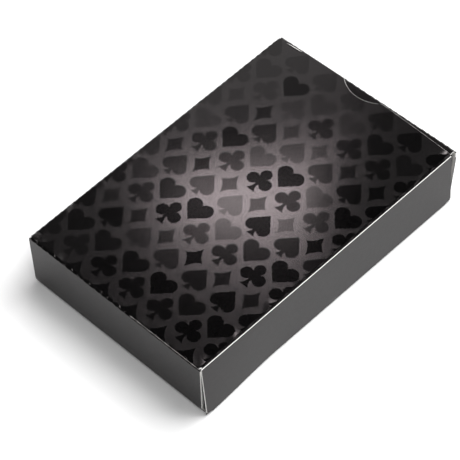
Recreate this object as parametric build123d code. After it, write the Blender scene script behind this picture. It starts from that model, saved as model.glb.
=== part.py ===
"""Paperboard tuck box holding one deck of playing cards.

The closed carton lies on its back panel. +X runs across it, towards the glued
long side. +Y runs along it, towards the lid. +Z is up, towards the front panel.
The origin is the centre of the carton's footprint. All sizes are millimetres.

The carton is one die-cut sheet. Each panel is a solid of its own: a panel that
turns meets its neighbour at a crease, where a half-round bead on the crease line
stands in for the bent board, and fixed panels meet face to face.
"""

import math
import os

from build123d import *

# Cards
CARD_LENGTH = 88.0
CARD_WIDTH = 58.0
CARD_THICKNESS = 0.265
CARD_CORNER_RADIUS = 3.2
CARDS_PER_SUIT = 13
JOKERS = 2
CARD_AIR = 0.005  # between two stacked cards

# Board and glue
BOARD = 0.4
GLUE_FILM = 0.05
GLUE_MARGIN = 2.0  # from the seam's edges to the glue
FOLD_ROUNDING = 0.3  # outer radius of a fixed fold
CREASE_AIR = 0.05  # between a crease's bead and the panel that turns on it

# Room around the deck
DECK_SIDE_PLAY = 0.875
DECK_END_PLAY = 0.4
DECK_AIR = 0.1  # between the deck and each tuck flap
LAYER_AIR = 0.15  # between upright layers at each end
SEAM_FOOT_AIR = 0.3  # under the inner seam panel's free edge

# Lid and bottom ends
END_PANEL_INSET = 0.1  # from the left long side's face to the end panel's edge
TUCK_LENGTH = 8.0
TUCK_SIDE_AIR = 0.7
TUCK_CORNER_RADIUS = 5.0
TUCK_TURN = 0.4  # fold-in of the tuck flap for each turn of its end panel
TUCK_AIR = 0.1  # left between the flap and the panel over it while it swings
SLIT_LENGTH = 8.0  # each lock slit, cut along the tuck crease from its end
SLIT_STANDOFF = 0.6  # from the tuck crease to the flap's edge along a slit

# Dust flaps
DUST_LENGTH = 11.0
DUST_ROOT_MARGIN = 0.5  # from the end panel's crease, and from the tuck flap
DUST_TIP_RADIUS = 1.2
DUST_SWING_AIR = 0.3
DUST_TURN = 0.5  # fold-out of a dust flap for each turn of its end panel

# Thumb notch
NOTCH_WIDTH = 13.4
NOTCH_DEPTH = 2.5

END_PANEL_OPENING = 90.0  # degrees, closed to open
SWING_STEPS = 60


def opening_angles():
    """Angles of an end panel from just off closed to fully open, in radians."""
    step = math.radians(END_PANEL_OPENING) / SWING_STEPS
    return [step * count for count in range(1, SWING_STEPS + 1)]


def tuck_tip_offset(reach, opening):
    """Outward and upward place of a tuck flap's tip, from its closed crease.

    reach is the end panel's height from crease to crease, opening is its angle.
    """
    tilt = (1 - TUCK_TURN) * opening
    outward = reach * math.sin(opening) - TUCK_LENGTH * math.cos(tilt)
    upward = reach * (math.cos(opening) - 1) + TUCK_LENGTH * math.sin(tilt)
    return outward, upward


def tuck_tip_rise(reach):
    """Greatest rise of a tuck flap's tip before it leaves the box."""
    tips = [tuck_tip_offset(reach, opening) for opening in opening_angles()]
    return max(upward for outward, upward in tips if outward < 0)


# Deck
CARD_PITCH = CARD_THICKNESS + CARD_AIR
CARD_COUNT = 4 * CARDS_PER_SUIT + JOKERS
DECK_HEIGHT = CARD_COUNT * CARD_PITCH - CARD_AIR

# Heights. The tip rises most with the lowest end panel that the deck allows.
TUCK_HEADROOM = tuck_tip_rise(DECK_HEIGHT + 2 * BOARD) + TUCK_AIR
INNER_HEIGHT = DECK_HEIGHT + 2 * (DECK_AIR + BOARD + TUCK_HEADROOM)
HEIGHT = INNER_HEIGHT + 2 * BOARD
LID_CREASE_Z = BOARD / 2
TUCK_CREASE_Z = HEIGHT - BOARD - TUCK_HEADROOM - BOARD / 2
LID_REACH = TUCK_CREASE_Z - LID_CREASE_Z
DECK_BOTTOM = HEIGHT - TUCK_CREASE_Z + BOARD / 2 + DECK_AIR

# Widths
INNER_WIDTH = CARD_WIDTH + 2 * DECK_SIDE_PLAY
WIDTH = INNER_WIDTH + 3 * BOARD + GLUE_FILM
LEFT_FACE = -WIDTH / 2
LEFT_WALL = LEFT_FACE + BOARD
RIGHT_FACE = WIDTH / 2
OUTER_SEAM_WALL = RIGHT_FACE - BOARD
INNER_SEAM_FACE = OUTER_SEAM_WALL - GLUE_FILM
RIGHT_WALL = INNER_SEAM_FACE - BOARD
DECK_X = (LEFT_WALL + RIGHT_WALL) / 2

# Lengths, from the middle to the lid end
DUST_CREASE_Y = CARD_LENGTH / 2 + DECK_END_PLAY + LAYER_AIR + BOARD / 2
END_WALL_Y = DUST_CREASE_Y + BOARD / 2 + LAYER_AIR
END_CREASE_Y = END_WALL_Y + BOARD / 2
END_FACE_Y = END_WALL_Y + BOARD
CREASE_STANDOFF = BOARD / 2 + CREASE_AIR

# End panels
END_PANEL_LEFT = LEFT_FACE + END_PANEL_INSET
END_PANEL_RIGHT = OUTER_SEAM_WALL - CREASE_AIR
END_PANEL_MIDDLE = (END_PANEL_LEFT + END_PANEL_RIGHT) / 2
TUCK_CREASE_HALF = (END_PANEL_RIGHT - END_PANEL_LEFT) / 2 - SLIT_LENGTH
TUCK_HALF_WIDTH = INNER_WIDTH / 2 - TUCK_SIDE_AIR
TUCK_FOLD_IN = math.radians(TUCK_TURN * END_PANEL_OPENING)
TUCK_MITRE = BOARD / 2 * (1 + math.sin(TUCK_FOLD_IN)) / math.cos(TUCK_FOLD_IN)
TUCK_STANDOFF = TUCK_MITRE + CREASE_AIR


def span(x_range, y_range, z_range):
    """Block that fills three ranges."""
    ranges = (x_range, y_range, z_range)
    size = [high - low for low, high in ranges]
    middle = [(high + low) / 2 for low, high in ranges]
    return Pos(*middle) * Box(*size)


def crease_bead_along_x(x_range, y, z):
    """Bead of bent board on a crease that runs across the carton."""
    length = x_range[1] - x_range[0]
    middle = (x_range[0] + x_range[1]) / 2
    return Pos(middle, y, z) * Rot(0, 90, 0) * Cylinder(BOARD / 2, length)


def crease_bead_upright(x, y, z_range):
    """Bead of bent board on an upright crease."""
    height = z_range[1] - z_range[0]
    middle = (z_range[0] + z_range[1]) / 2
    return Pos(x, y, middle) * Cylinder(BOARD / 2, height)


def round_fold(panel, x, z):
    """Round a panel's long edges that lie at one x and one z, as its fold is."""
    edges = [
        edge
        for edge in panel.edges().filter_by(Axis.Y)
        if abs(edge.center().X - x) < CREASE_AIR and abs(edge.center().Z - z) < CREASE_AIR
    ]
    return fillet(edges, min(FOLD_ROUNDING, 0.9 * BOARD))


def turned_to_bottom_end(piece):
    """The same piece at the other end, hung from the front panel."""
    return Pos(0, 0, HEIGHT) * Rot(180, 0, 0) * piece


# ---------------------------------------------------------------- fixed panels


def thumb_notch():
    """Cutter for the shallow arc in the front panel's free edge."""
    half = NOTCH_WIDTH / 2
    radius = (half**2 + NOTCH_DEPTH**2) / (2 * NOTCH_DEPTH)
    centre_y = END_WALL_Y - NOTCH_DEPTH + radius
    return Pos(0, centre_y, HEIGHT) * Cylinder(radius, 4 * BOARD)


def front_panel():
    """Large face, with the bottom panel's crease at one end and the notch at the other."""
    panel = span(
        (LEFT_WALL, INNER_SEAM_FACE), (-END_CREASE_Y, END_WALL_Y), (HEIGHT - BOARD, HEIGHT)
    )
    panel = round_fold(panel, INNER_SEAM_FACE, HEIGHT)
    bead_range = (LEFT_WALL + FOLD_ROUNDING, INNER_SEAM_FACE - FOLD_ROUNDING)
    panel += crease_bead_along_x(bead_range, -END_CREASE_Y, HEIGHT - LID_CREASE_Z)
    return panel - thumb_notch()


def back_panel():
    """Large face that the carton lies on, with the lid's crease at its far end."""
    panel = span((LEFT_WALL, OUTER_SEAM_WALL), (-END_WALL_Y, END_CREASE_Y), (0, BOARD))
    bead_range = (LEFT_WALL + FOLD_ROUNDING, OUTER_SEAM_WALL - FOLD_ROUNDING)
    return panel + crease_bead_along_x(bead_range, END_CREASE_Y, LID_CREASE_Z)


def left_side_panel():
    """Long side folded at both edges, with a dust flap's crease at each end."""
    panel = span((LEFT_FACE, LEFT_WALL), (-DUST_CREASE_Y, DUST_CREASE_Y), (0, HEIGHT))
    panel = round_fold(panel, LEFT_FACE, 0)
    panel = round_fold(panel, LEFT_FACE, HEIGHT)
    bead_range = (FOLD_ROUNDING, HEIGHT - FOLD_ROUNDING)
    for y in (-DUST_CREASE_Y, DUST_CREASE_Y):
        panel += crease_bead_upright(LEFT_FACE + BOARD / 2, y, bead_range)
    return panel


def right_inner_side_panel():
    """Glue panel that hangs from the front panel and carries the right dust flaps."""
    z_range = (BOARD + SEAM_FOOT_AIR, HEIGHT - BOARD)
    panel = span((RIGHT_WALL, INNER_SEAM_FACE), (-DUST_CREASE_Y, DUST_CREASE_Y), z_range)
    for y in (-DUST_CREASE_Y, DUST_CREASE_Y):
        panel += crease_bead_upright(RIGHT_WALL + BOARD / 2, y, z_range)
    return panel


def right_outer_side_panel():
    """Long side folded up from the back panel, with its free edges left raw."""
    panel = span((OUTER_SEAM_WALL, RIGHT_FACE), (-END_WALL_Y, END_WALL_Y), (0, HEIGHT))
    return round_fold(panel, RIGHT_FACE, 0)


def side_seam_glue():
    """Film of glue between the two right side panels."""
    y_end = DUST_CREASE_Y - GLUE_MARGIN
    z_range = (BOARD + SEAM_FOOT_AIR + GLUE_MARGIN, HEIGHT - BOARD - GLUE_MARGIN)
    return span((INNER_SEAM_FACE, OUTER_SEAM_WALL), (-y_end, y_end), z_range)


# ------------------------------------------------------------------ end pieces


def end_panel():
    """Lid panel: upright, turning on the back panel's crease.

    Its top carries the tuck flap's crease in the middle and a raw square edge
    along each lock slit.
    """
    x_range = (END_PANEL_LEFT, END_PANEL_RIGHT)
    y_range = (END_WALL_Y, END_FACE_Y)
    panel = span(x_range, y_range, (LID_CREASE_Z + CREASE_STANDOFF, TUCK_CREASE_Z))
    crease_range = (END_PANEL_MIDDLE - TUCK_CREASE_HALF, END_PANEL_MIDDLE + TUCK_CREASE_HALF)
    panel += crease_bead_along_x(crease_range, END_CREASE_Y, TUCK_CREASE_Z)
    slit_ranges = ((x_range[0], crease_range[0]), (crease_range[1], x_range[1]))
    for slit_range in slit_ranges:
        panel += span(slit_range, y_range, (TUCK_CREASE_Z - BOARD, TUCK_CREASE_Z + BOARD / 2))
    return panel


def tuck_flap():
    """Flap on the lid's top crease, lying under the front panel."""
    half = TUCK_HALF_WIDTH
    corner = TUCK_LENGTH - TUCK_CORNER_RADIUS
    outline = Polyline(
        (half - TUCK_CORNER_RADIUS, TUCK_LENGTH),
        (-half + TUCK_CORNER_RADIUS, TUCK_LENGTH),
    )
    outline += RadiusArc(
        (-half + TUCK_CORNER_RADIUS, TUCK_LENGTH), (-half, corner), -TUCK_CORNER_RADIUS
    )
    outline += Polyline(
        (-half, corner),
        (-half, SLIT_STANDOFF),
        (-TUCK_CREASE_HALF, SLIT_STANDOFF),
        (-TUCK_CREASE_HALF, TUCK_STANDOFF),
        (TUCK_CREASE_HALF, TUCK_STANDOFF),
        (TUCK_CREASE_HALF, SLIT_STANDOFF),
        (half, SLIT_STANDOFF),
        (half, corner),
    )
    outline += RadiusArc(
        (half, corner), (half - TUCK_CORNER_RADIUS, TUCK_LENGTH), -TUCK_CORNER_RADIUS
    )
    flap = extrude(make_face(outline.edges()), BOARD / 2, both=True)
    return Pos(DECK_X, END_CREASE_Y, TUCK_CREASE_Z) * Rot(0, 0, 180) * flap


def dust_flap_outreach(reach, opening):
    """How far past the lid's crease a dust flap's outer face stands.

    reach is the distance from the flap's own crease, opening is the lid's angle.
    """
    turn = DUST_TURN * opening
    return DUST_CREASE_Y - END_CREASE_Y + reach * math.sin(turn) + BOARD / 2 * math.cos(turn)


def height_swept_by_end_panel(reach):
    """Height over the lid's crease that the swinging lid panel takes at that reach."""
    heights = []
    for opening in opening_angles():
        outreach = dust_flap_outreach(reach, opening)
        heights.append((outreach * math.cos(opening) + BOARD / 2) / math.sin(opening))
    return max(heights)


def depth_swept_by_tuck_flap(reach):
    """Depth under the tuck crease that the leaving tuck flap takes at that reach."""
    depths = [BOARD / 2]
    for opening in opening_angles():
        outreach = dust_flap_outreach(reach, opening)
        tip_outward, tip_upward = tuck_tip_offset(LID_REACH, opening)
        if tip_outward <= outreach:
            tilt = (1 - TUCK_TURN) * opening
            line = tip_upward - (outreach - tip_outward) * math.tan(tilt)
            depths.append(BOARD / 2 / math.cos(tilt) - line)
    return max(depths)


def edge_slope(swept, root_margin):
    """Least slope of a dust flap's edge that clears what sweeps past it."""
    reaches = [DUST_LENGTH * count / SWING_STEPS for count in range(5, SWING_STEPS + 1)]
    return max(
        (swept(reach) + DUST_SWING_AIR - root_margin) / (reach - CREASE_STANDOFF)
        for reach in reaches
    )


def dust_flap(crease_x, inward):
    """Flap on a side panel's end, folded in behind the lid.

    inward is 1 for the left side, whose flap points to +X, and -1 for the right.
    """
    margin = DUST_ROOT_MARGIN + BOARD / 2
    run = DUST_LENGTH - CREASE_STANDOFF
    rise = run * edge_slope(height_swept_by_end_panel, margin)
    fall = run * edge_slope(depth_swept_by_tuck_flap, margin)
    low = LID_CREASE_Z + margin
    high = TUCK_CREASE_Z - margin
    points = [
        (CREASE_STANDOFF, low),
        (DUST_LENGTH, low + rise),
        (DUST_LENGTH, high - fall),
        (CREASE_STANDOFF, high),
    ]
    face = make_face(Polyline(*points, close=True).edges())
    tip_corners = face.vertices().sort_by(Axis.X)[-2:]
    face = fillet(tip_corners, DUST_TIP_RADIUS)
    flap = extrude(Plane.XZ * face, BOARD / 2, both=True)
    if inward < 0:
        flap = flap.mirror(Plane.YZ)
    return Pos(crease_x, DUST_CREASE_Y, 0) * flap


# ------------------------------------------------------------------------ deck


def cards(first, count):
    """A run of stacked cards, counted from the back panel."""
    outline = RectangleRounded(CARD_WIDTH, CARD_LENGTH, CARD_CORNER_RADIUS)
    card = extrude(outline, CARD_THICKNESS)
    stack = [
        Pos(DECK_X, 0, DECK_BOTTOM + CARD_PITCH * (first + index)) * card
        for index in range(count)
    ]
    return Compound(children=stack)


def build_nodes():
    """Every sub-part by name."""
    left_crease_x = LEFT_FACE + BOARD / 2
    right_crease_x = RIGHT_WALL + BOARD / 2
    nodes = {
        "front_panel": front_panel(),
        "back_panel": back_panel(),
        "left_side_panel": left_side_panel(),
        "right_inner_side_panel": right_inner_side_panel(),
        "right_outer_side_panel": right_outer_side_panel(),
        "side_seam_glue": side_seam_glue(),
        "lid_panel": end_panel(),
        "lid_tuck_flap": tuck_flap(),
        "top_left_dust_flap": dust_flap(left_crease_x, 1),
        "top_right_dust_flap": dust_flap(right_crease_x, -1),
        "bottom_panel": turned_to_bottom_end(end_panel()),
        "bottom_tuck_flap": turned_to_bottom_end(tuck_flap()),
        "bottom_left_dust_flap": turned_to_bottom_end(dust_flap(left_crease_x, 1)),
        "bottom_right_dust_flap": turned_to_bottom_end(dust_flap(right_crease_x, -1)),
    }
    first = 0
    for suit in ("spade", "heart", "diamond", "club"):
        nodes[suit + "_cards"] = cards(first, CARDS_PER_SUIT)
        first += CARDS_PER_SUIT
    nodes["joker_cards"] = cards(first, JOKERS)
    return nodes


os.makedirs("parts", exist_ok=True)
for name, piece in build_nodes().items():
    export_step(piece, "parts/" + name + ".step")

print("outer size", round(WIDTH, 4), round(2 * END_FACE_Y, 4), round(HEIGHT, 4))
print("lid crease y, z", round(END_CREASE_Y, 4), round(LID_CREASE_Z, 4))
print("tuck crease z", round(TUCK_CREASE_Z, 4), "deck bottom", round(DECK_BOTTOM, 4))
print("dust crease y", round(DUST_CREASE_Y, 4), "left x", round(LEFT_FACE + BOARD / 2, 4))
print("dust crease right x", round(RIGHT_WALL + BOARD / 2, 4))
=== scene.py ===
"""The look of the card deck box: a matte black tuck box with card suits in clear gloss.

Lengths are in millimetres until a mesh is made, when they become metres.
"""

import math

import bpy
from mathutils import Matrix, Quaternion, Vector
from mathutils.geometry import delaunay_2d_cdt


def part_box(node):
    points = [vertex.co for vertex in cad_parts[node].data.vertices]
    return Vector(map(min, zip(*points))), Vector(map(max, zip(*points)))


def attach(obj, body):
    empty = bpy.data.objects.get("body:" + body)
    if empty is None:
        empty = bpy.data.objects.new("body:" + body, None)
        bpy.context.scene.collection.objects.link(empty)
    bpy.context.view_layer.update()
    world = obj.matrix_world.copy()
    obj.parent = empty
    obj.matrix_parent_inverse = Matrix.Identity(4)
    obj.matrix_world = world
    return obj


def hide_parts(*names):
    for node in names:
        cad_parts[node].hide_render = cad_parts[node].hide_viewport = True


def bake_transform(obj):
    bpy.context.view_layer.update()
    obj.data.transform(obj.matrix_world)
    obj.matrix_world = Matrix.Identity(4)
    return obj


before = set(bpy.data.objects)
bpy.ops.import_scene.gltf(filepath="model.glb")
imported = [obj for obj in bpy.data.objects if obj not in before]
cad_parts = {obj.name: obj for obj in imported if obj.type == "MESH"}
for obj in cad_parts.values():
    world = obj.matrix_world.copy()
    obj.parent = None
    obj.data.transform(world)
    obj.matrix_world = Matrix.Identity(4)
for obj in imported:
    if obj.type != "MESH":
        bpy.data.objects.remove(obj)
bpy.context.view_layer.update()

MM = 0.001


def node_box(node):
    """Lowest and highest corner of a CAD node, in millimetres."""
    low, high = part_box(node)
    return low / MM, high / MM


# ---------------------------------------------------------------- sizes read from the frame

FRONT_LOW, FRONT_HIGH = node_box("front_panel")
LEFT_LOW, LEFT_HIGH = node_box("left_side_panel")
OUTER_LOW, OUTER_HIGH = node_box("right_outer_side_panel")
LID_LOW, LID_HIGH = node_box("lid_panel")
BOTTOM_LOW, BOTTOM_HIGH = node_box("bottom_panel")
TUCK_LOW, TUCK_HIGH = node_box("lid_tuck_flap")
END_TUCK_LOW, END_TUCK_HIGH = node_box("bottom_tuck_flap")

BOARD = FRONT_HIGH.z - FRONT_LOW.z
HEIGHT = FRONT_HIGH.z
LEFT = LEFT_LOW.x
RIGHT = OUTER_HIGH.x
FAR = LID_HIGH.y
NEAR = BOTTOM_LOW.y
MID_X = (LEFT + RIGHT) / 2
FULL_LENGTH = FAR - NEAR
FRONT_RIGHT = FRONT_HIGH.x

FOLD = 0.55            # outside radius of a folded edge
GRID = 2.2             # spacing of the points inside a panel
OUTLINE_STEP = 1.6     # spacing of the points along a panel's outline
EDGE_ROOM = 0.04       # least distance from an inner point to the outline
FOLD_MARGIN = 0.12     # points this far from a fold keep the panel flat up to it
FILM = 0.022           # thickness of the clear gloss
CARD_PITCH = 0.27      # from one card to the next in the deck
NOTCH_X = -0.5
NOTCH_CHORD = 13.3
NOTCH_DEPTH = 2.45
NOTCH_RADIUS = (NOTCH_CHORD ** 2 / 4 + NOTCH_DEPTH ** 2) / (2 * NOTCH_DEPTH)
NOTCH_Y = FAR + NOTCH_RADIUS - NOTCH_DEPTH


# ---------------------------------------------------------------- materials

def new_material(name):
    """A material with its node tree, its shader and a short way to add a node."""
    material = bpy.data.materials.new(name)
    material.use_nodes = True
    tree = material.node_tree
    shader = tree.nodes["Principled BSDF"]
    return material, tree, shader


def add_node(tree, kind, **settings):
    node = tree.nodes.new(kind)
    for key, value in settings.items():
        if key in node.inputs:
            node.inputs[key].default_value = value
        else:
            setattr(node, key, value)
    return node


def ramp(tree, source, stops):
    """A colour ramp driven by a socket. stops is a list of (place, colour)."""
    node = tree.nodes.new("ShaderNodeValToRGB")
    elements = node.color_ramp.elements
    while len(elements) < len(stops):
        elements.new(0.5)
    for element, (place, colour) in zip(elements, stops):
        element.position = place
        element.color = (*colour, 1)
    tree.links.new(source, node.inputs["Fac"])
    return node.outputs["Color"]


def noise(tree, scale, detail=3.0, roughness=0.55):
    """Noise in the object's own space, with scale in features per metre."""
    coordinates = add_node(tree, "ShaderNodeTexCoord")
    node = add_node(tree, "ShaderNodeTexNoise", Scale=scale, Detail=detail, Roughness=roughness)
    tree.links.new(coordinates.outputs["Object"], node.inputs["Vector"])
    return node.outputs["Fac"]


def bump(tree, shader, height, strength, distance):
    node = add_node(tree, "ShaderNodeBump", Strength=strength, Distance=distance)
    tree.links.new(height, node.inputs["Height"])
    tree.links.new(node.outputs["Normal"], shader.inputs["Normal"])


def printed_black(name, specular, rough_low, rough_high, dark, light, grain):
    """Black print on board: grain in its bump and roughness, and faint mottling in its colour."""
    material, tree, shader = new_material(name)
    shader.inputs["Specular IOR Level"].default_value = specular
    shader.inputs["Specular Tint"].default_value = (1.0, 0.93, 0.93, 1)
    mottle = noise(tree, 900)
    tree.links.new(ramp(tree, mottle, [(0.3, dark), (0.75, light)]), shader.inputs["Base Color"])
    fine = noise(tree, 5200, 4.0, 0.7)
    span = ramp(tree, fine, [(0.3, (rough_low,) * 3), (0.7, (rough_high,) * 3)])
    tree.links.new(span, shader.inputs["Roughness"])
    bump(tree, shader, fine, grain, 0.00001)
    return material


def white_board(name, low, high, rough):
    """Uncoated board: fibres in its colour and in its bump."""
    material, tree, shader = new_material(name)
    fibres = noise(tree, 2600, 5.0, 0.7)
    tree.links.new(ramp(tree, fibres, [(0.3, low), (0.7, high)]), shader.inputs["Base Color"])
    span = ramp(tree, fibres, [(0.3, (rough,) * 3), (0.8, (rough + 0.12,) * 3)])
    tree.links.new(span, shader.inputs["Roughness"])
    bump(tree, shader, fibres, 0.35, 0.00004)
    return material


INK_DARK, INK_LIGHT = (0.0012, 0.0011, 0.0012), (0.0026, 0.0024, 0.0025)
SIDE_DARK, SIDE_LIGHT = (0.008, 0.008, 0.0082), (0.013, 0.013, 0.0133)
GLOSS_DARK, GLOSS_LIGHT = (0.0008, 0.0008, 0.0008), (0.0018, 0.0017, 0.0018)

PRINT = printed_black("black_print", 0.5, 0.15, 0.22, INK_DARK, INK_LIGHT, 0.3)
PRINT_SIDE = printed_black("black_print_side", 0.38, 0.34, 0.46, SIDE_DARK, SIDE_LIGHT, 0.2)
# Low-gloss black print for the flaps and folds; it also makes the strips of painted shadow beside the slit
# and at the notch's right end.
DARK_FLAP_AND_PAINTED_SHADOW = printed_black("black_flap_and_painted_shadow", 0.10, 0.3, 0.42, INK_DARK, INK_LIGHT, 0.2)
CORE = white_board("white_core", (0.62, 0.61, 0.59), (0.88, 0.87, 0.85), 0.7)
WORN = white_board("worn_crease", (0.10, 0.10, 0.10), (0.55, 0.54, 0.52), 0.6)
INSIDE = white_board("board_inside", (0.60, 0.585, 0.55), (0.74, 0.725, 0.69), 0.75)
# How strongly each print of the clear gloss reflects, from faint to very dark.
GLOSS_LEVELS = {"F": 0.37, "L": 0.25, "M": 0.15, "D": 0.08, "V": 0.035}
TONES = {
    tone: printed_black("gloss_" + tone, level, 0.15, 0.205, GLOSS_DARK, GLOSS_LIGHT, 0.1)
    for tone, level in GLOSS_LEVELS.items()
}


def clear_glue():
    material, tree, shader = new_material("dry_glue")
    streaks = noise(tree, 400, 4.0)
    tint = ramp(tree, streaks, [(0.3, (0.62, 0.58, 0.46)), (0.7, (0.78, 0.75, 0.64))])
    tree.links.new(tint, shader.inputs["Base Color"])
    bump(tree, shader, streaks, 0.5, 0.00005)
    shader.inputs["Roughness"].default_value = 0.3
    return material


def card_stock():
    """Coated white card, with a thin grey line of painted shade in the gap between one card and the next on
    the deck's sides.
    """
    material, tree, shader = new_material("card_stock")
    coordinates = add_node(tree, "ShaderNodeTexCoord")
    split = add_node(tree, "ShaderNodeSeparateXYZ")
    tree.links.new(coordinates.outputs["Object"], split.inputs["Vector"])
    pitch = add_node(tree, "ShaderNodeMath", operation="MULTIPLY")
    pitch.inputs[1].default_value = 1 / (CARD_PITCH * MM)
    tree.links.new(split.outputs["Z"], pitch.inputs[0])
    share = add_node(tree, "ShaderNodeMath", operation="FRACT")
    tree.links.new(pitch.outputs[0], share.inputs[0])
    # The grey at the start of each card's pitch is painted shade in the crevice between cards.
    painted_gap_shade, edge, face = (0.42, 0.42, 0.43), (0.86, 0.86, 0.84), (0.9, 0.9, 0.88)
    line = ramp(tree, share.outputs[0], [(0.0, painted_gap_shade), (0.2, edge), (0.9, face)])
    tree.links.new(line, shader.inputs["Base Color"])
    shader.inputs["Roughness"].default_value = 0.42
    bump(tree, shader, noise(tree, 1800, 3.0), 0.12, 0.00003)
    return material


# ---------------------------------------------------------------- flat outlines into boards

def cut_shape(outline, inner):
    """Triangles that fill an outline, with inner points where the sheet has to bend."""
    count = len(outline)
    points = [Vector(p) for p in outline] + [Vector(p) for p in inner]
    edges = [(i, (i + 1) % count) for i in range(count)]
    found, _, triangles, _, _, _ = delaunay_2d_cdt(points, edges, [list(range(count))], 1, 1e-5)
    return [tuple(p) for p in found], [tuple(t) for t in triangles]


def inside(outline, u, v):
    """True where (u, v) lies within the outline."""
    hit = False
    for index, (u1, v1) in enumerate(outline):
        u0, v0 = outline[index - 1]
        if (v0 > v) != (v1 > v) and u < (u1 - u0) * (v - v0) / (v1 - v0) + u0:
            hit = not hit
    return hit


def clear_of(outline, u, v, reach):
    """True where (u, v) is at least reach from every side of the outline."""
    for index, (u1, v1) in enumerate(outline):
        u0, v0 = outline[index - 1]
        du, dv = u1 - u0, v1 - v0
        length = du * du + dv * dv
        share = 0.0 if length == 0 else max(0.0, min(1.0, ((u - u0) * du + (v - v0) * dv) / length))
        if math.hypot(u - u0 - share * du, v - v0 - share * dv) < reach:
            return False
    return True


def densify(outline, step):
    """The same outline with points no further apart than step."""
    points = []
    for index, start in enumerate(outline):
        end = outline[(index + 1) % len(outline)]
        parts = max(1, math.ceil(math.dist(start, end) / step))
        for part in range(parts):
            share = part / parts
            points.append((start[0] + (end[0] - start[0]) * share, start[1] + (end[1] - start[1]) * share))
    return points


def arc_points(centre, radius, first, last, steps):
    """Points along an arc, with its angles in degrees."""
    points = []
    for step in range(steps + 1):
        turn = math.radians(first + (last - first) * step / steps)
        points.append((centre[0] + radius * math.cos(turn), centre[1] + radius * math.sin(turn)))
    return points


def spaced(low, high, step):
    parts = max(1, math.ceil((high - low) / step))
    return [low + (high - low) * part / parts for part in range(1, parts)]


# Which of a board's materials a face takes, in the order that its materials are listed.
OUTER_FACE, INNER_FACE, CUT_EDGE, LONG_FOLD = range(4)


def board_faces(outline, place, thickness, u_list, v_list, reach, cut_edge):
    """Points, faces and material kinds of a closed sheet.

    place(u, v, w) gives a point, with w from 0 outside to thickness inside. Inner points keep at least
    reach from the outline. cut_edge(u, v) tells a cut edge, which is bare, from an edge that is printed.
    """
    inner = []
    for u in u_list:
        for v in v_list:
            if inside(outline, u, v) and clear_of(outline, u, v, reach):
                inner.append((u, v))
    flat, triangles = cut_shape(outline, inner)
    count = len(flat)
    points = [place(u, v, 0.0) for u, v in flat] + [place(u, v, thickness) for u, v in flat]
    faces = []
    kinds = []
    used = {}
    for a, b, c in triangles:
        faces.append((a, b, c))
        kinds.append(OUTER_FACE)
        faces.append((c + count, b + count, a + count))
        kinds.append(INNER_FACE)
        for first, second in ((a, b), (b, c), (c, a)):
            used[first, second] = True
    for first, second in list(used):
        if (second, first) in used:
            continue
        faces.append((second, first, first + count, second + count))
        middle = ((flat[first][0] + flat[second][0]) / 2, (flat[first][1] + flat[second][1]) / 2)
        kinds.append(CUT_EDGE if cut_edge(*middle) else OUTER_FACE)
    return points, faces, kinds


SMOOTH_ANGLE = 35      # degrees; a sharper edge than this stays sharp


def make_piece(name, points, faces, kinds, materials):
    mesh = bpy.data.meshes.new(name)
    mesh.from_pydata([tuple(c * MM for c in p) for p in points], [], faces)
    for material in materials:
        mesh.materials.append(material)
    for polygon, kind in zip(mesh.polygons, kinds):
        polygon.material_index = kind
        polygon.use_smooth = True
    mesh.validate()
    mesh.update()
    mesh.set_sharp_from_angle(angle=math.radians(SMOOTH_ANGLE))
    piece = bpy.data.objects.new(name, mesh)
    bpy.context.scene.collection.objects.link(piece)
    return piece


def outward(points, faces, probe):
    """The faces, turned round where the first one faces away from the direction probe."""
    a, b, c = (Vector(points[i]) for i in faces[0][:3])
    if (b - a).cross(c - a).dot(Vector(probe)) < 0:
        return [tuple(reversed(face)) for face in faces]
    return faces


# ---------------------------------------------------------------- how the real box is out of true

def smooth(low, high, value):
    share = max(0.0, min(1.0, (value - low) / (high - low)))
    return share * share * (3 - 2 * share)


FRONT_BULGE = 1.15     # rise of the front panel at the middle of its far edge
LID_PROUD_LEFT = 0.7   # how far the lid's top stands out at its left end
LID_PROUD_EXTRA = 1.4  # and how much further at its right end
FLARE_OUT = 1.1        # how far the glued side springs out at its near foot
FLARE_NEAR = 0.4       # and how far that foot leans towards the near end
LEFT_BOW = 0.45        # how far the left side bows out at its middle


def front_rise(x, y):
    """The front panel bulges at its free far edge, most at its middle."""
    across = max(0.0, 1 - ((x - MID_X) / (RIGHT - MID_X)) ** 2)
    along = ((y - NEAR) / FULL_LENGTH) ** 2.4 if y > NEAR else 0.0
    return FRONT_BULGE * across * along


def lid_lean(x, z):
    """The lid stands proud of the box's end, more at its top and more towards the right."""
    share = (x - LEFT) / (RIGHT - LEFT)
    return smooth(1.0, HEIGHT, z) * (LID_PROUD_LEFT + LID_PROUD_EXTRA * share)


def side_flare(y, z):
    """Share by which the glued side springs out at its near end, most at its foot."""
    near = 1 - smooth(NEAR, NEAR + 26, y)
    return near * (1 - z / HEIGHT)


def side_bow(y, z):
    """The left side bows out a little halfway up."""
    upright = math.sin(math.pi * max(0.0, min(1.0, z / HEIGHT)))
    return LEFT_BOW * upright * math.cos(math.pi * y / FULL_LENGTH) ** 0.5


# ---------------------------------------------------------------- the panels

def fold_over(distance, start, radius, depth):
    """Across a folded edge: distance runs along the sheet, and the fold begins at start."""
    if distance <= start:
        return distance, 0.0
    turn = min((distance - start) / radius, math.pi / 2)
    straight = max(0.0, distance - start - radius * math.pi / 2)
    inner = radius - depth
    return start + inner * math.sin(turn), radius - depth - inner * math.cos(turn) + straight


ARC = FOLD * math.pi / 2
FRONT_U0 = LEFT + FOLD
FRONT_U1 = FRONT_RIGHT - FOLD
FRONT_V0 = NEAR + FOLD
BOTTOM_TOP = HEIGHT - FOLD


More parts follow.
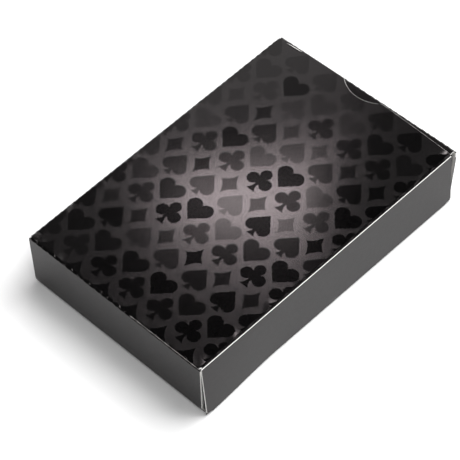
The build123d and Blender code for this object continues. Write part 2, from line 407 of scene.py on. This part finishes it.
def place_front(u, v, w):
    """The front panel, with its left, right and near edges folded down."""
    x, down_x = u, 0.0
    if u > FRONT_U1:
        x, down_x = fold_over(u, FRONT_U1, FOLD, w)
    elif u < FRONT_U0:
        mirrored, down_x = fold_over(-u, -FRONT_U0, FOLD, w)
        x = -mirrored
    y, down_y = v, 0.0
    if v < FRONT_V0:
        mirrored, down_y = fold_over(-v, -FRONT_V0, FOLD, w)
        y = -mirrored
    return x, y, HEIGHT - w - down_x - down_y + front_rise(x, y)


def notch_points(count=26):
    """Points along the thumb notch, from its right end to its left end."""
    half = math.asin(NOTCH_CHORD / 2 / NOTCH_RADIUS)
    points = []
    for step in range(count + 1):
        turn = half - 2 * half * step / count
        points.append((NOTCH_X + NOTCH_RADIUS * math.sin(turn), NOTCH_Y - NOTCH_RADIUS * math.cos(turn)))
    return points


def front_outline():
    left, right, near, far = FRONT_U0 - ARC, FRONT_U1 + ARC, FRONT_V0 - ARC, FAR
    corners = [(FRONT_U0, near), (FRONT_U1, near), (FRONT_U1, FRONT_V0), (right, FRONT_V0), (right, far)]
    corners += notch_points()
    corners += [(left, far), (left, FRONT_V0), (FRONT_U0, FRONT_V0)]
    return densify(corners, OUTLINE_STEP)


def arc_lines(start, sign):
    """Places across a folded edge that keep it round."""
    return [start + sign * ARC * step / 6 for step in range(0, 6)]


def build_front():
    outline = front_outline()
    u_list = spaced(FRONT_U0, FRONT_U1, GRID) + arc_lines(FRONT_U0, -1) + arc_lines(FRONT_U1, 1)
    u_list += [FRONT_U0 + FOLD_MARGIN, FRONT_U1 - FOLD_MARGIN]
    v_list = spaced(FRONT_V0, FAR, GRID) + arc_lines(FRONT_V0, -1) + [FRONT_V0 + FOLD_MARGIN]
    points, faces, kinds = board_faces(
        outline, place_front, BOARD, u_list, v_list, EDGE_ROOM,
        lambda u, v: v > FRONT_V0 + 1 and FRONT_U0 < u < FRONT_U1,
    )
    faces = outward(points, faces, (0, 0, 1))
    for index, face in enumerate(faces):
        across = [points[corner][0] for corner in face]
        on_long_fold = max(across) > FRONT_U1 + 0.01 or min(across) < FRONT_U0 - 0.01
        if kinds[index] == OUTER_FACE and on_long_fold:
            kinds[index] = LONG_FOLD
    piece = make_piece("front_panel_board", points, faces, kinds, [PRINT, INSIDE, CORE, DARK_FLAP_AND_PAINTED_SHADOW])
    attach(piece, "carton")
    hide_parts("front_panel")


def pressed(distance):
    """Share of its thickness that board keeps at a distance from a cut edge, where the die pressed it."""
    return 0.6 + 0.4 * smooth(0, 0.9, distance)


def place_outer(u, v, w):
    """The outer glued side: u along the length, v up from the table."""
    w *= pressed(HEIGHT - v)
    x, z = RIGHT, v
    if v < FOLD:
        turn = (FOLD - v) / FOLD
        x = RIGHT - FOLD + (FOLD - w) * math.cos(turn)
        z = FOLD - (FOLD - w) * math.sin(turn)
    else:
        x = RIGHT - w
    flare = side_flare(u, z)
    return x + FLARE_OUT * flare, u - FLARE_NEAR * flare, z


def build_outer_side():
    near, far, foot = OUTER_LOW.y, OUTER_HIGH.y, FOLD - ARC
    outline = densify([(near, foot), (far, foot), (far, HEIGHT), (near, HEIGHT)], OUTLINE_STEP)
    u_list = spaced(near, far, GRID)
    v_list = spaced(FOLD, HEIGHT, GRID) + [FOLD] + [FOLD - ARC * step / 6 for step in range(1, 6)]
    points, faces, kinds = board_faces(
        outline, place_outer, BOARD, u_list, v_list, EDGE_ROOM, lambda u, v: v > FOLD
    )
    faces = outward(points, faces, (1, 0, 0))
    piece = make_piece("right_outer_side_board", points, faces, kinds, [PRINT_SIDE, INSIDE, CORE])
    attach(piece, "carton")
    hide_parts("right_outer_side_panel")


END_RIGHT = BOTTOM_HIGH.x + 0.15
END_INSET = 0.7
END_FOOT = 0.45        # underside of the near tuck flap, just above the back panel
END_STRAIGHT = BOTTOM_TOP - END_FOOT - FOLD
END_CREASE = END_STRAIGHT + ARC / 2
END_FLAP_START = END_STRAIGHT + ARC
END_TOTAL = END_FLAP_START + END_TUCK_HIGH.y - (NEAR + FOLD)


def end_right(v):
    """The near end's right edge, which slants in towards the table."""
    return END_RIGHT - END_INSET * v / END_STRAIGHT


def place_bottom(u, v, w):
    """The near end and its tuck flap: u across, v down from the front panel's near fold, then in."""
    if v < END_STRAIGHT:
        return u, NEAR + w, BOTTOM_TOP - v
    if v < END_FLAP_START:
        turn = (v - END_STRAIGHT) / FOLD
        return u, NEAR + FOLD - (FOLD - w) * math.cos(turn), END_FOOT + FOLD - (FOLD - w) * math.sin(turn)
    return u, NEAR + FOLD + v - END_FLAP_START, END_FOOT + w


def flap_corners(low, high, end):
    """The two rounded free corners of a tuck flap, from its right side to its left side."""
    radius = 5.0
    points = arc_points((high - radius, end - radius), radius, 0, 90, 12)
    return points + arc_points((low + radius, end - radius), radius, 90, 180, 12)


def build_bottom():
    low = BOTTOM_LOW.x
    flap_low, flap_high = END_TUCK_LOW.x, END_TUCK_HIGH.x
    corners = [(low, 0.0), (END_RIGHT, 0.0), (end_right(END_CREASE), END_CREASE)]
    corners.append((flap_high, END_CREASE))
    corners += flap_corners(flap_low, flap_high, END_TOTAL)
    corners += [(flap_low, END_CREASE), (low, END_CREASE)]
    v_list = spaced(0, END_STRAIGHT - 1.4, GRID) + spaced(END_STRAIGHT - 1.4, END_STRAIGHT, 0.25)
    v_list += [END_STRAIGHT + ARC * step / 6 for step in range(7)]
    v_list += spaced(END_FLAP_START, END_TOTAL, 1.0)
    points, faces, kinds = board_faces(
        densify(corners, OUTLINE_STEP), place_bottom, BOARD, spaced(low, END_RIGHT, GRID), v_list, EDGE_ROOM,
        lambda u, v: v > END_CREASE or u > end_right(v) - 0.02 or u < low + 0.01,
    )
    faces = outward(points, faces, (0, -1, 0))
    piece = make_piece("bottom_panel_board", points, faces, kinds, [PRINT_SIDE, INSIDE, CORE])
    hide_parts("bottom_panel", "bottom_tuck_flap")
    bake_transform(piece)


def place_left(u, v, w):
    """The left side: u along the length, v up from the table, with the fold at its foot."""
    if v < FOLD:
        turn = (FOLD - v) / FOLD
        inner = FOLD - w
        return LEFT + FOLD - inner * math.cos(turn), u, FOLD - inner * math.sin(turn)
    return LEFT + w - side_bow(u, v), u, v


CREASE_ROOM = 0.1      # room for a dust flap to turn past the left side's end


def build_left_side():
    top = HEIGHT - FOLD
    near, far = LEFT_LOW.y + CREASE_ROOM, LEFT_HIGH.y - CREASE_ROOM
    outline = densify([(near, FOLD - ARC), (far, FOLD - ARC), (far, top), (near, top)], OUTLINE_STEP)
    v_list = spaced(FOLD, top, GRID) + [FOLD - ARC * step / 6 for step in range(6)]
    points, faces, kinds = board_faces(
        outline, place_left, BOARD, spaced(near, far, GRID), v_list, EDGE_ROOM, lambda u, v: False
    )
    faces = outward(points, faces, (-1, 0, 0))
    piece = make_piece("left_side_board", points, faces, kinds, [PRINT_SIDE, INSIDE, CORE])
    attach(piece, "carton")
    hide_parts("left_side_panel")


DUST_FOOT = 3.5        # height of the dust fold's lowest point


def place_dust_fold(u, v, w):
    """The fold from the right side to its dust flap: u up, v from 0 at the side to 1 at the flap.

    It springs out past the side's far edge, more towards the top.
    """
    swell = 1.2 * smooth(DUST_FOOT, HEIGHT, u)
    y = OUTER_HIGH.y - 0.05 + swell * math.sin(math.pi * v) ** 0.7 - w
    return RIGHT - 0.1 - 1.3 * v, y, u


def build_dust_fold():
    top = HEIGHT - 1.0
    outline = densify([(DUST_FOOT, 0.0), (top, 0.0), (top, 1.0), (DUST_FOOT, 1.0)], 0.6)
    turns = [step / 12 for step in range(1, 12)]
    points, faces, kinds = board_faces(
        outline, place_dust_fold, BOARD * 0.7, spaced(DUST_FOOT, top, 0.7), turns, 0.03,
        lambda u, v: False,
    )
    faces = outward(points, faces, (0, 1, 0))
    piece = make_piece("top_right_dust_fold", points, faces, kinds, [DARK_FLAP_AND_PAINTED_SHADOW, INSIDE])
    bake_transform(piece)


LID_TOP = HEIGHT - 0.3
LID_STRAIGHT = LID_TOP - 2 * FOLD
FLAP_RUN = FAR - FOLD - TUCK_LOW.y


def lid_section(v, w):
    """The lid and its tuck flap from the side: (y, z) at v along the sheet and a depth w into it."""
    if v < FOLD * math.pi / 2:
        turn = v / FOLD
        return FAR - FOLD + (FOLD - w) * math.sin(turn), FOLD - (FOLD - w) * math.cos(turn)
    v -= FOLD * math.pi / 2
    if v < LID_STRAIGHT:
        return FAR - w, FOLD + v
    v -= LID_STRAIGHT
    if v < FOLD * math.pi / 2:
        turn = v / FOLD
        return FAR - FOLD + (FOLD - w) * math.cos(turn), LID_TOP - FOLD + (FOLD - w) * math.sin(turn)
    v -= FOLD * math.pi / 2
    drop = (LID_TOP - TUCK_HIGH.z) * smooth(0, 4.5, v)
    return FAR - FOLD - v, LID_TOP - drop - w


def place_lid(u, v, w):
    y, z = lid_section(v, w)
    lean = lid_lean(u, z) * smooth(TUCK_LOW.y, FAR - 1.5, y)
    return u, y + lean, z


LID_ARC = FOLD * math.pi / 2
LID_FOLD_V = LID_ARC + LID_STRAIGHT
FLAP_END_V = LID_FOLD_V + LID_ARC + FLAP_RUN


def build_lid():
    low, high = LID_LOW.x, LID_HIGH.x
    outline = densify([(low, 0.0), (high, 0.0), (high, LID_FOLD_V), (low, LID_FOLD_V)], OUTLINE_STEP)
    v_list = spaced(LID_ARC, LID_FOLD_V, GRID) + [LID_ARC * step / 6 for step in range(1, 7)]
    points, faces, kinds = board_faces(
        outline, place_lid, BOARD, spaced(low, high, GRID), v_list, EDGE_ROOM,
        lambda u, v: u > high - 0.01 and v > LID_FOLD_V - 1.2,
    )
    faces = outward(points, faces, (0, 0, -1))
    piece = make_piece("lid_panel_board", points, faces, kinds, [PRINT_SIDE, INSIDE, CORE])
    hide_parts("lid_panel")
    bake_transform(piece)


def build_lid_tuck():
    low, high = TUCK_LOW.x, TUCK_HIGH.x + 0.6
    corners = [(low, LID_FOLD_V), (high, LID_FOLD_V)] + flap_corners(low, high, FLAP_END_V)
    outline = densify(corners, OUTLINE_STEP)
    v_list = [LID_FOLD_V + LID_ARC * step / 6 for step in range(1, 7)]
    v_list += spaced(LID_FOLD_V + LID_ARC, FLAP_END_V, 1.0)
    points, faces, kinds = board_faces(
        outline, place_lid, BOARD, spaced(low, high, GRID), v_list, EDGE_ROOM,
        lambda u, v: v > LID_FOLD_V + 0.2,
    )
    faces = outward(points, faces, (0, 1, 0))
    piece = make_piece("lid_tuck_board", points, faces, kinds, [DARK_FLAP_AND_PAINTED_SHADOW, INSIDE, CORE])
    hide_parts("lid_tuck_flap")
    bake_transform(piece)


# ---------------------------------------------------------------- the card suits in clear gloss

def mirrored(points):
    """The points, followed by their mirror images in the upright axis, in return order."""
    return points + [(-u, v) for u, v in reversed(points) if abs(u) > 1e-6]


def heart():
    lobe, radius, tip = (1.92, 1.25), 2.03, (0.0, -3.47)
    reach = math.dist(lobe, tip)
    tangent = math.degrees(math.atan2(tip[1] - lobe[1], tip[0] - lobe[0]) + math.acos(radius / reach))
    dip = 180 - math.degrees(math.acos(lobe[0] / radius))
    return mirrored([tip] + arc_points(lobe, radius, tangent, dip, 26))


def diamond():
    half_u, half_v, pinch = 2.8, 3.5, 0.32
    side = []
    for step in range(13):
        t = step / 12
        u = 2 * t * (1 - t) * pinch * half_u + t * t * half_u
        v = -(1 - t) ** 2 * half_v - 2 * t * (1 - t) * pinch * half_v
        side.append((u, v))
    side += [(u, -v) for u, v in reversed(side[:-1])]
    return mirrored(side)


def stem(base_half, base_v, top_half, top_v):
    """One side of a flared stem, from the middle of its foot up."""
    side = [(0.0, base_v)]
    for step in range(9):
        t = step / 8
        half = base_half + (top_half - base_half) * (1 - (1 - t) ** 2.2)
        side.append((half, base_v + (top_v - base_v) * t))
    return side


def club():
    side = stem(1.4, -3.9, 0.42, -1.75)
    side += arc_points((2.05, -0.5), 1.75, -150, 145, 30)
    side += arc_points((0.0, 2.15), 1.6, -40, 90, 16)
    return mirrored(side)


def spade():
    lobe, radius, tip = (1.85, -0.9), 1.8, (0.0, 3.8)
    reach = math.dist(lobe, tip)
    tangent = math.degrees(math.atan2(tip[1] - lobe[1], tip[0] - lobe[0]) - math.acos(radius / reach))
    side = stem(1.25, -3.8, 0.5, -2.15)
    side += arc_points(lobe, radius, -131, tangent, 24)
    return mirrored(side + [tip])


COLUMN_PITCH = 9.89
ROW_PITCH = 22.7
INNER_COLUMN = 5.75
EDGE_COLUMN = 0.94
# First row from the far edge, first column from the left edge, and the tone of each print in each row.
SUIT_ROWS = [
    (spade, 3.75, EDGE_COLUMN, ["FFFFLMD", "FLMLMDV", "LMMLVDD", "MDLMDVV"]),
    (heart, 11.2, INNER_COLUMN, ["FMFFML", "FDLVLV", "LDVLDV", "MMDVDV"]),
    (club, 16.1, EDGE_COLUMN, ["FFFMMMD", "LMMVDMV", "MMVMDVV", "LLDDDVV"]),
    (diamond, 22.2, INNER_COLUMN, ["FMLLMD", "MDMMLV", "LMMVDD", "LMDDVV"]),
]


def trimmed(u, v):
    """A point kept on the panel's flat face and out of the thumb notch."""
    u = max(FRONT_U0 + 0.02, min(FRONT_U1 - 0.02, u))
    v = max(FRONT_V0 + 0.02, min(FAR - 0.12, v))
    reach = math.hypot(u - NOTCH_X, v - NOTCH_Y)
    clear = NOTCH_RADIUS + 0.12
    if reach < clear and v > FAR - NOTCH_DEPTH - 0.5:
        u = NOTCH_X + (u - NOTCH_X) * clear / reach
        v = NOTCH_Y + (v - NOTCH_Y) * clear / reach
    return u, v


def place_film(u, v, w):
    x, y, z = place_front(u, v, 0.0)
    return x, y, z + FILM - w


def build_suits():
    order = list(TONES)
    points, faces, kinds = [], [], []
    for suit, first_row, first_column, rows in SUIT_ROWS:
        shape = densify(suit(), 0.9)
        for row, tones in enumerate(rows):
            for column, tone in enumerate(tones):
                centre_u = LEFT + first_column + COLUMN_PITCH * column
                centre_v = FAR - first_row - ROW_PITCH * row
                outline = []
                for u, v in shape:
                    point = trimmed(centre_u + u, centre_v + v)
                    if not outline or math.dist(point, outline[-1]) > 1e-3:
                        outline.append(point)
                spots = [centre_u + step * 1.3 for step in range(-3, 4)]
                levels = [centre_v + step * 1.3 for step in range(-3, 4)]
                added, sides, _ = board_faces(
                    outline, place_film, FILM, spots, levels, 0.25, lambda u, v: False
                )
                sides = outward(added, sides, (0, 0, 1))
                base = len(points)
                points += added
                faces += [tuple(index + base for index in face) for face in sides]
                kinds += [order.index(tone)] * len(sides)
    piece = make_piece("spot_gloss_suits", points, faces, kinds, [TONES[tone] for tone in order])
    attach(piece, "carton")


# ---------------------------------------------------------------- bare board at cut and worn edges, and strips of painted shadow

def ribbon(path, width, place, depth=FILM):
    """Points and faces of a thin closed strip along a path. width(share) is its width on the way along."""
    points, faces = [], []
    last = len(path) - 1
    for index, (u, v) in enumerate(path):
        before, after = path[max(0, index - 1)], path[min(last, index + 1)]
        du, dv = after[0] - before[0], after[1] - before[1]
        length = math.hypot(du, dv)
        half = width(index / last) / 2
        side_u, side_v = -dv / length * half, du / length * half
        for sign, level in ((1, 0.0), (-1, 0.0), (-1, depth), (1, depth)):
            points.append(place(u + sign * side_u, v + sign * side_v, level))
    for index in range(last):
        base = 4 * index
        for corner in range(4):
            after = (corner + 1) % 4
            faces.append((base + corner, base + after, base + 4 + after, base + 4 + corner))
    faces += [(3, 2, 1, 0), (4 * last, 4 * last + 1, 4 * last + 2, 4 * last + 3)]
    return points, faces


def line_of(start, end, step=0.5):
    parts = max(2, math.ceil(math.dist(start, end) / step))
    return [tuple(a + (b - a) * part / parts for a, b in zip(start, end)) for part in range(parts + 1)]


def uneven(base, swing, turns):
    """A width that comes and goes along a line."""
    return lambda share: base + swing * math.sin(turns * share * math.tau) * math.sin(7.3 * share + 1.1)


def taper(most):
    return lambda share: 0.03 + (most - 0.03) * math.sin(math.pi * share)


def build_lines():
    notch = list(reversed(notch_points(40)))
    far = FAR - 0.05
    near_fold = FRONT_V0 - ARC * 0.45
    # In order: the far edge left of the notch, the notch, the slit at the far left and a strip of painted
    # shadow beside it, a dark strip of painted shade at the notch's right end, the far edge right of it, the
    # near fold, and three nicked corners.
    lines = [
        (line_of((LEFT + 1.0, far), notch[0]), uneven(0.05, 0.03, 5), WORN),
        (notch, lambda share: 0.07 + 0.13 * (1 - share) ** 4, WORN),
        (line_of((LEFT + 3.4, far - 0.50), (LEFT + 8.6, far - 0.34)), taper(0.2), CORE),
        # A dark strip painted as the slit's shadow, and below it one painted as the shade at the notch's
        # right end.
        (line_of((LEFT + 3.6, far - 0.78), (LEFT + 8.8, far - 0.60)), taper(0.3), DARK_FLAP_AND_PAINTED_SHADOW),
        (line_of((notch[-1][0] - 0.9, far - 0.45), (notch[-1][0] - 0.1, far - 0.30), 0.2), taper(0.55), DARK_FLAP_AND_PAINTED_SHADOW),
        (line_of(notch[-1], (FRONT_RIGHT - 0.2, far)), uneven(0.06, 0.03, 6), WORN),
        (line_of((6.0, near_fold), (FRONT_U1 + 0.2, near_fold)), uneven(0.10, 0.06, 9), WORN),
        (line_of((FRONT_U1 + 0.15, NEAR + 0.25), (FRONT_U1 + 0.6, NEAR + 1.2), 0.2), taper(0.3), CORE),
        (line_of((LEFT + 0.15, NEAR + 0.2), (LEFT + 0.6, NEAR + 0.6), 0.15), taper(0.4), CORE),
        (line_of((LEFT + 0.4, FAR - 0.75), (LEFT + 0.8, FAR - 0.4), 0.15), taper(0.3), CORE),
    ]
    for number, (path, width, material) in enumerate(lines):
        points, faces = ribbon(path, width, place_film)
        faces = outward(points, faces, (0, 0, 1))
        piece = make_piece(f"bare_edge_and_painted_shadow_{number}", points, faces, [0] * len(faces), [material])
        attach(piece, "carton")


# ---------------------------------------------------------------- finishes of the CAD nodes that show

def board_node(name, outside, edge_is_print):
    """Board whose outside is the print, told by which way the surface faces in the object's own space."""
    material, tree, shader = new_material("board_of_" + name)
    coordinates = add_node(tree, "ShaderNodeTexCoord")
    facing = add_node(tree, "ShaderNodeVectorMath", operation="DOT_PRODUCT")
    facing.inputs[1].default_value = outside
    tree.links.new(coordinates.outputs["Normal"], facing.inputs[0])
    black, core, bare = (0.012, 0.012, 0.0125), (0.78, 0.77, 0.75), (0.66, 0.65, 0.62)
    middle = black if edge_is_print else core
    level = add_node(tree, "ShaderNodeMath", operation="MULTIPLY_ADD")
    level.inputs[1].default_value = 0.5
    level.inputs[2].default_value = 0.5
    tree.links.new(facing.outputs["Value"], level.inputs[0])
    steps = ramp(tree, level.outputs[0], [(0.0, bare), (0.2, middle), (0.8, black)])
    steps.node.color_ramp.interpolation = "CONSTANT"
    fibres = noise(tree, 2400, 4.0)
    mottle = ramp(tree, fibres, [(0.3, (0.82, 0.82, 0.82)), (0.7, (1.0, 1.0, 1.0))])
    mix = add_node(tree, "ShaderNodeMix", data_type="RGBA", blend_type="MULTIPLY")
    mix.inputs[0].default_value = 1.0
    tree.links.new(steps, mix.inputs[6])
    tree.links.new(mottle, mix.inputs[7])
    tree.links.new(mix.outputs[2], shader.inputs["Base Color"])
    span = ramp(tree, fibres, [(0.3, (0.36,) * 3), (0.7, (0.5,) * 3)])
    tree.links.new(span, shader.inputs["Roughness"])
    bump(tree, shader, fibres, 0.2, 0.00004)
    return material


def finish_node(node, material):
    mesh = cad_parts[node].data
    mesh.materials.clear()
    mesh.materials.append(material)


BOARD_NODES = {
    "back_panel": ((0, 0, -1), True),
    "right_inner_side_panel": ((1, 0, 0), True),
    "top_left_dust_flap": ((0, 1, 0), False),
    "top_right_dust_flap": ((0, 1, 0), False),
    "bottom_left_dust_flap": ((0, -1, 0), False),
    "bottom_right_dust_flap": ((0, -1, 0), False),
}


def finish_nodes():
    for node, (outside, edge_is_print) in BOARD_NODES.items():
        finish_node(node, board_node(node, outside, edge_is_print))
    finish_node("side_seam_glue", clear_glue())
    stock = card_stock()
    for node in ("spade_cards", "heart_cards", "diamond_cards", "club_cards", "joker_cards"):
        finish_node(node, stock)


# ---------------------------------------------------------------- floor, light and camera

def build_floor():
    half = 2.5
    mesh = bpy.data.meshes.new("floor")
    corners = [(-half, -half, 0), (half, -half, 0), (half, half, 0), (-half, half, 0)]
    mesh.from_pydata(corners, [], [(0, 1, 2, 3)])
    material, tree, shader = new_material("floor_white")
    shader.inputs["Base Color"].default_value = (0.86, 0.86, 0.86, 1)
    shader.inputs["Roughness"].default_value = 0.9
    shader.inputs["Specular IOR Level"].default_value = 0.1
    mesh.materials.append(material)
    floor = bpy.data.objects.new("floor", mesh)
    floor.location.z = -0.00005
    bpy.context.scene.collection.objects.link(floor)


def area_light(name, direction, distance, size, power, colour=(1, 1, 1), roll=0.0):
    """A soft light that aims at the box from a direction. size is its level side and its other side."""
    data = bpy.data.lights.new(name, "AREA")
    data.shape = "RECTANGLE"
    data.size, data.size_y = size
    data.energy = power
    data.color = colour
    light = bpy.data.objects.new(name, data)
    aim = Vector((0.0023, -0.001, HEIGHT * MM))
    light.location = aim + Vector(direction).normalized() * distance
    facing = (light.location - aim).to_track_quat("Z", "Y")
    light.rotation_euler = (facing @ Quaternion((0, 0, 1), math.radians(roll))).to_euler()
    light.visible_camera = False
    bpy.context.scene.collection.objects.link(light)


def build_lights():
    area_light("highlight_strip", (-0.46, 0.41, 0.785), 0.26, (0.051, 0.012), 0.0465, (1.0, 0.92, 0.95), -15)
    area_light("back_card", (-0.74, 0.72, 0.60), 1.2, (0.8, 0.8), 1.9)
    area_light("key_box", (0.3, 0.6, 1.25), 1.5, (1.0, 1.0), 28.5)
    area_light("fill_box", (0.9, -0.5, 1.6), 1.7, (1.1, 1.1), 13)
    world = bpy.data.worlds.new("studio")
    world.use_nodes = True
    tree = world.node_tree
    tree.nodes.clear()
    path = tree.nodes.new("ShaderNodeLightPath")
    dim = add_node(tree, "ShaderNodeBackground", Color=(1, 1, 1, 1), Strength=0.05)
    bright = add_node(tree, "ShaderNodeBackground", Color=(1, 1, 1, 1), Strength=1.0)
    mix = tree.nodes.new("ShaderNodeMixShader")
    out = tree.nodes.new("ShaderNodeOutputWorld")
    tree.links.new(path.outputs["Is Camera Ray"], mix.inputs[0])
    tree.links.new(dim.outputs[0], mix.inputs[1])
    tree.links.new(bright.outputs[0], mix.inputs[2])
    tree.links.new(mix.outputs[0], out.inputs["Surface"])
    bpy.context.scene.world = world
    bpy.context.scene.view_settings.view_transform = "Standard"


def build_camera():
    data = bpy.data.cameras.new("camera")
    data.lens = 214.66
    data.sensor_width = 36
    data.clip_start = 0.05
    data.clip_end = 20
    camera = bpy.data.objects.new("camera", data)
    right = Vector((0.71264, 0.69986, -0.04834))
    up = Vector((-0.52950, 0.58181, 0.61735))
    back = Vector((0.46019, -0.41435, 0.78520))
    turn = Matrix((right, up, back)).transposed().to_4x4()
    camera.matrix_world = Matrix.Translation((0.321157, -0.294112, 0.556794)) @ turn
    bpy.context.scene.collection.objects.link(camera)
    bpy.context.scene.camera = camera


build_camera()
build_floor()
build_lights()
build_front()
build_outer_side()
build_bottom()
build_left_side()
build_dust_fold()
build_lid()
build_lid_tuck()
build_suits()
build_lines()
finish_nodes()
